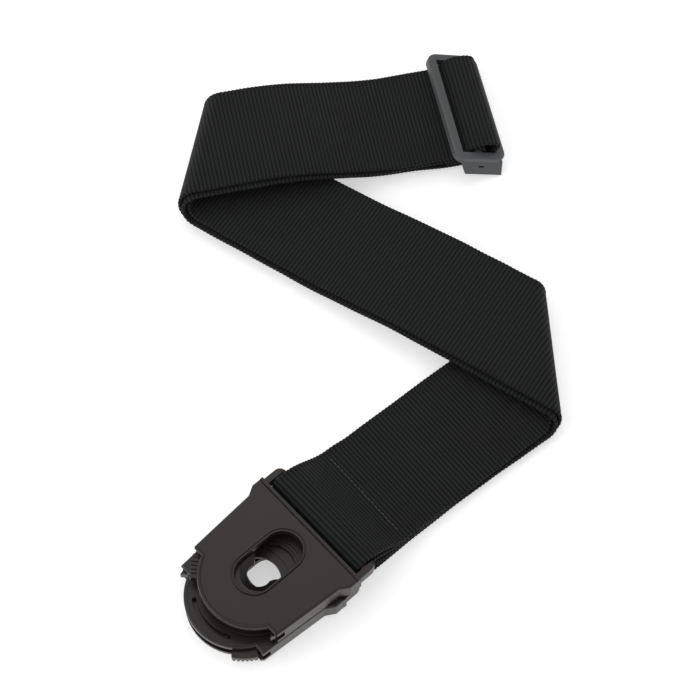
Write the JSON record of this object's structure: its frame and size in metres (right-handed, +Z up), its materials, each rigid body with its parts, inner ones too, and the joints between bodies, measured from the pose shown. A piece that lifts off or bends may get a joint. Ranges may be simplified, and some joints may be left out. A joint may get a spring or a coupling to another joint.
{
  "type": "guitar strap",
  "caption": "Folded webbing guitar strap with a dial-operated strap-button lock at each end, stacked at the left, and a sliding bar adjuster at the right.",
  "frame": {"origin": "on the table plane, under the middle of the folded strap's bounding box", "axes": "+X along the locks towards the webbing, +Y across the webbing to the left, +Z up from the table"},
  "size_m": [0.275, 0.2222, 0.0192],
  "materials": {
    "lock_plastic": "satin moulded black plastic",
    "dial_plastic": "satin moulded black plastic",
    "lever_plastic": "satin moulded black plastic",
    "steel": "drawn steel",
    "screw_steel": "black oxide steel",
    "webbing": "black woven polypropylene webbing with cross ribs",
    "thread": "grey sewing thread",
    "slider_plastic": "satin dark grey moulded plastic"
  },
  "bodies": {
    "strap": {"strap_webbing": "webbing", "lock_end_stitches": "thread", "slider_end_stitches": "thread"},
    "front_lock": {"front_lock_cover": "lock_plastic", "front_lock_base": "lock_plastic", "front_release_pin": "steel", "front_lock_screws": "screw_steel"},
    "front_dial": {"front_locking_dial": "dial_plastic"},
    "front_release": {"front_release_lever": "lever_plastic", "front_release_spring": "steel"},
    "rear_lock": {"rear_lock_cover": "lock_plastic", "rear_lock_base": "lock_plastic", "rear_release_pin": "steel", "rear_lock_screws": "screw_steel"},
    "rear_dial": {"rear_locking_dial": "dial_plastic"},
    "rear_release": {"rear_release_lever": "lever_plastic", "rear_release_spring": "steel"},
    "slider": {"length_slider": "slider_plastic"}
  },
  "joints": [
    {"name": "front_lock_fold", "type": "hinge", "parent": "strap", "child": "front_lock", "pos_m": [-0.0729, -0.07906, 0.0141], "axis": [0, 1, 0], "range_deg": [0, 70]},
    {"name": "front_dial_turn", "type": "hinge", "parent": "front_lock", "child": "front_dial", "pos_m": [-0.1053, -0.07906, 0.0141], "axis": [0, 0, 1], "range_deg": [0, 55]},
    {"name": "front_release_press", "type": "hinge", "parent": "front_lock", "child": "front_release", "pos_m": [-0.1123, -0.10165, 0.0132], "axis": [0, 0, -1], "range_deg": [0, 6], "stiffness_Nm_per_rad": 0.1},
    {"name": "rear_lock_fold", "type": "hinge", "parent": "strap", "child": "rear_lock", "pos_m": [-0.0802, -0.07855, 0.0048], "axis": [0, -1, 0], "range_deg": [0, 60]},
    {"name": "rear_dial_turn", "type": "hinge", "parent": "rear_lock", "child": "rear_dial", "pos_m": [-0.1126, -0.07855, 0.0048], "axis": [0, 0, -1], "range_deg": [0, 55]},
    {"name": "rear_release_press", "type": "hinge", "parent": "rear_lock", "child": "rear_release", "pos_m": [-0.1196, -0.05595, 0.0057], "axis": [0, 0, 1], "range_deg": [0, 6], "stiffness_Nm_per_rad": 0.1},
    {"name": "slider_tilt", "type": "hinge", "parent": "strap", "child": "slider", "pos_m": [0.11307, 0.03092, 0.00938], "axis": [0.5012, 0.8653, 0], "range_deg": [-1, 6]}
  ]
}
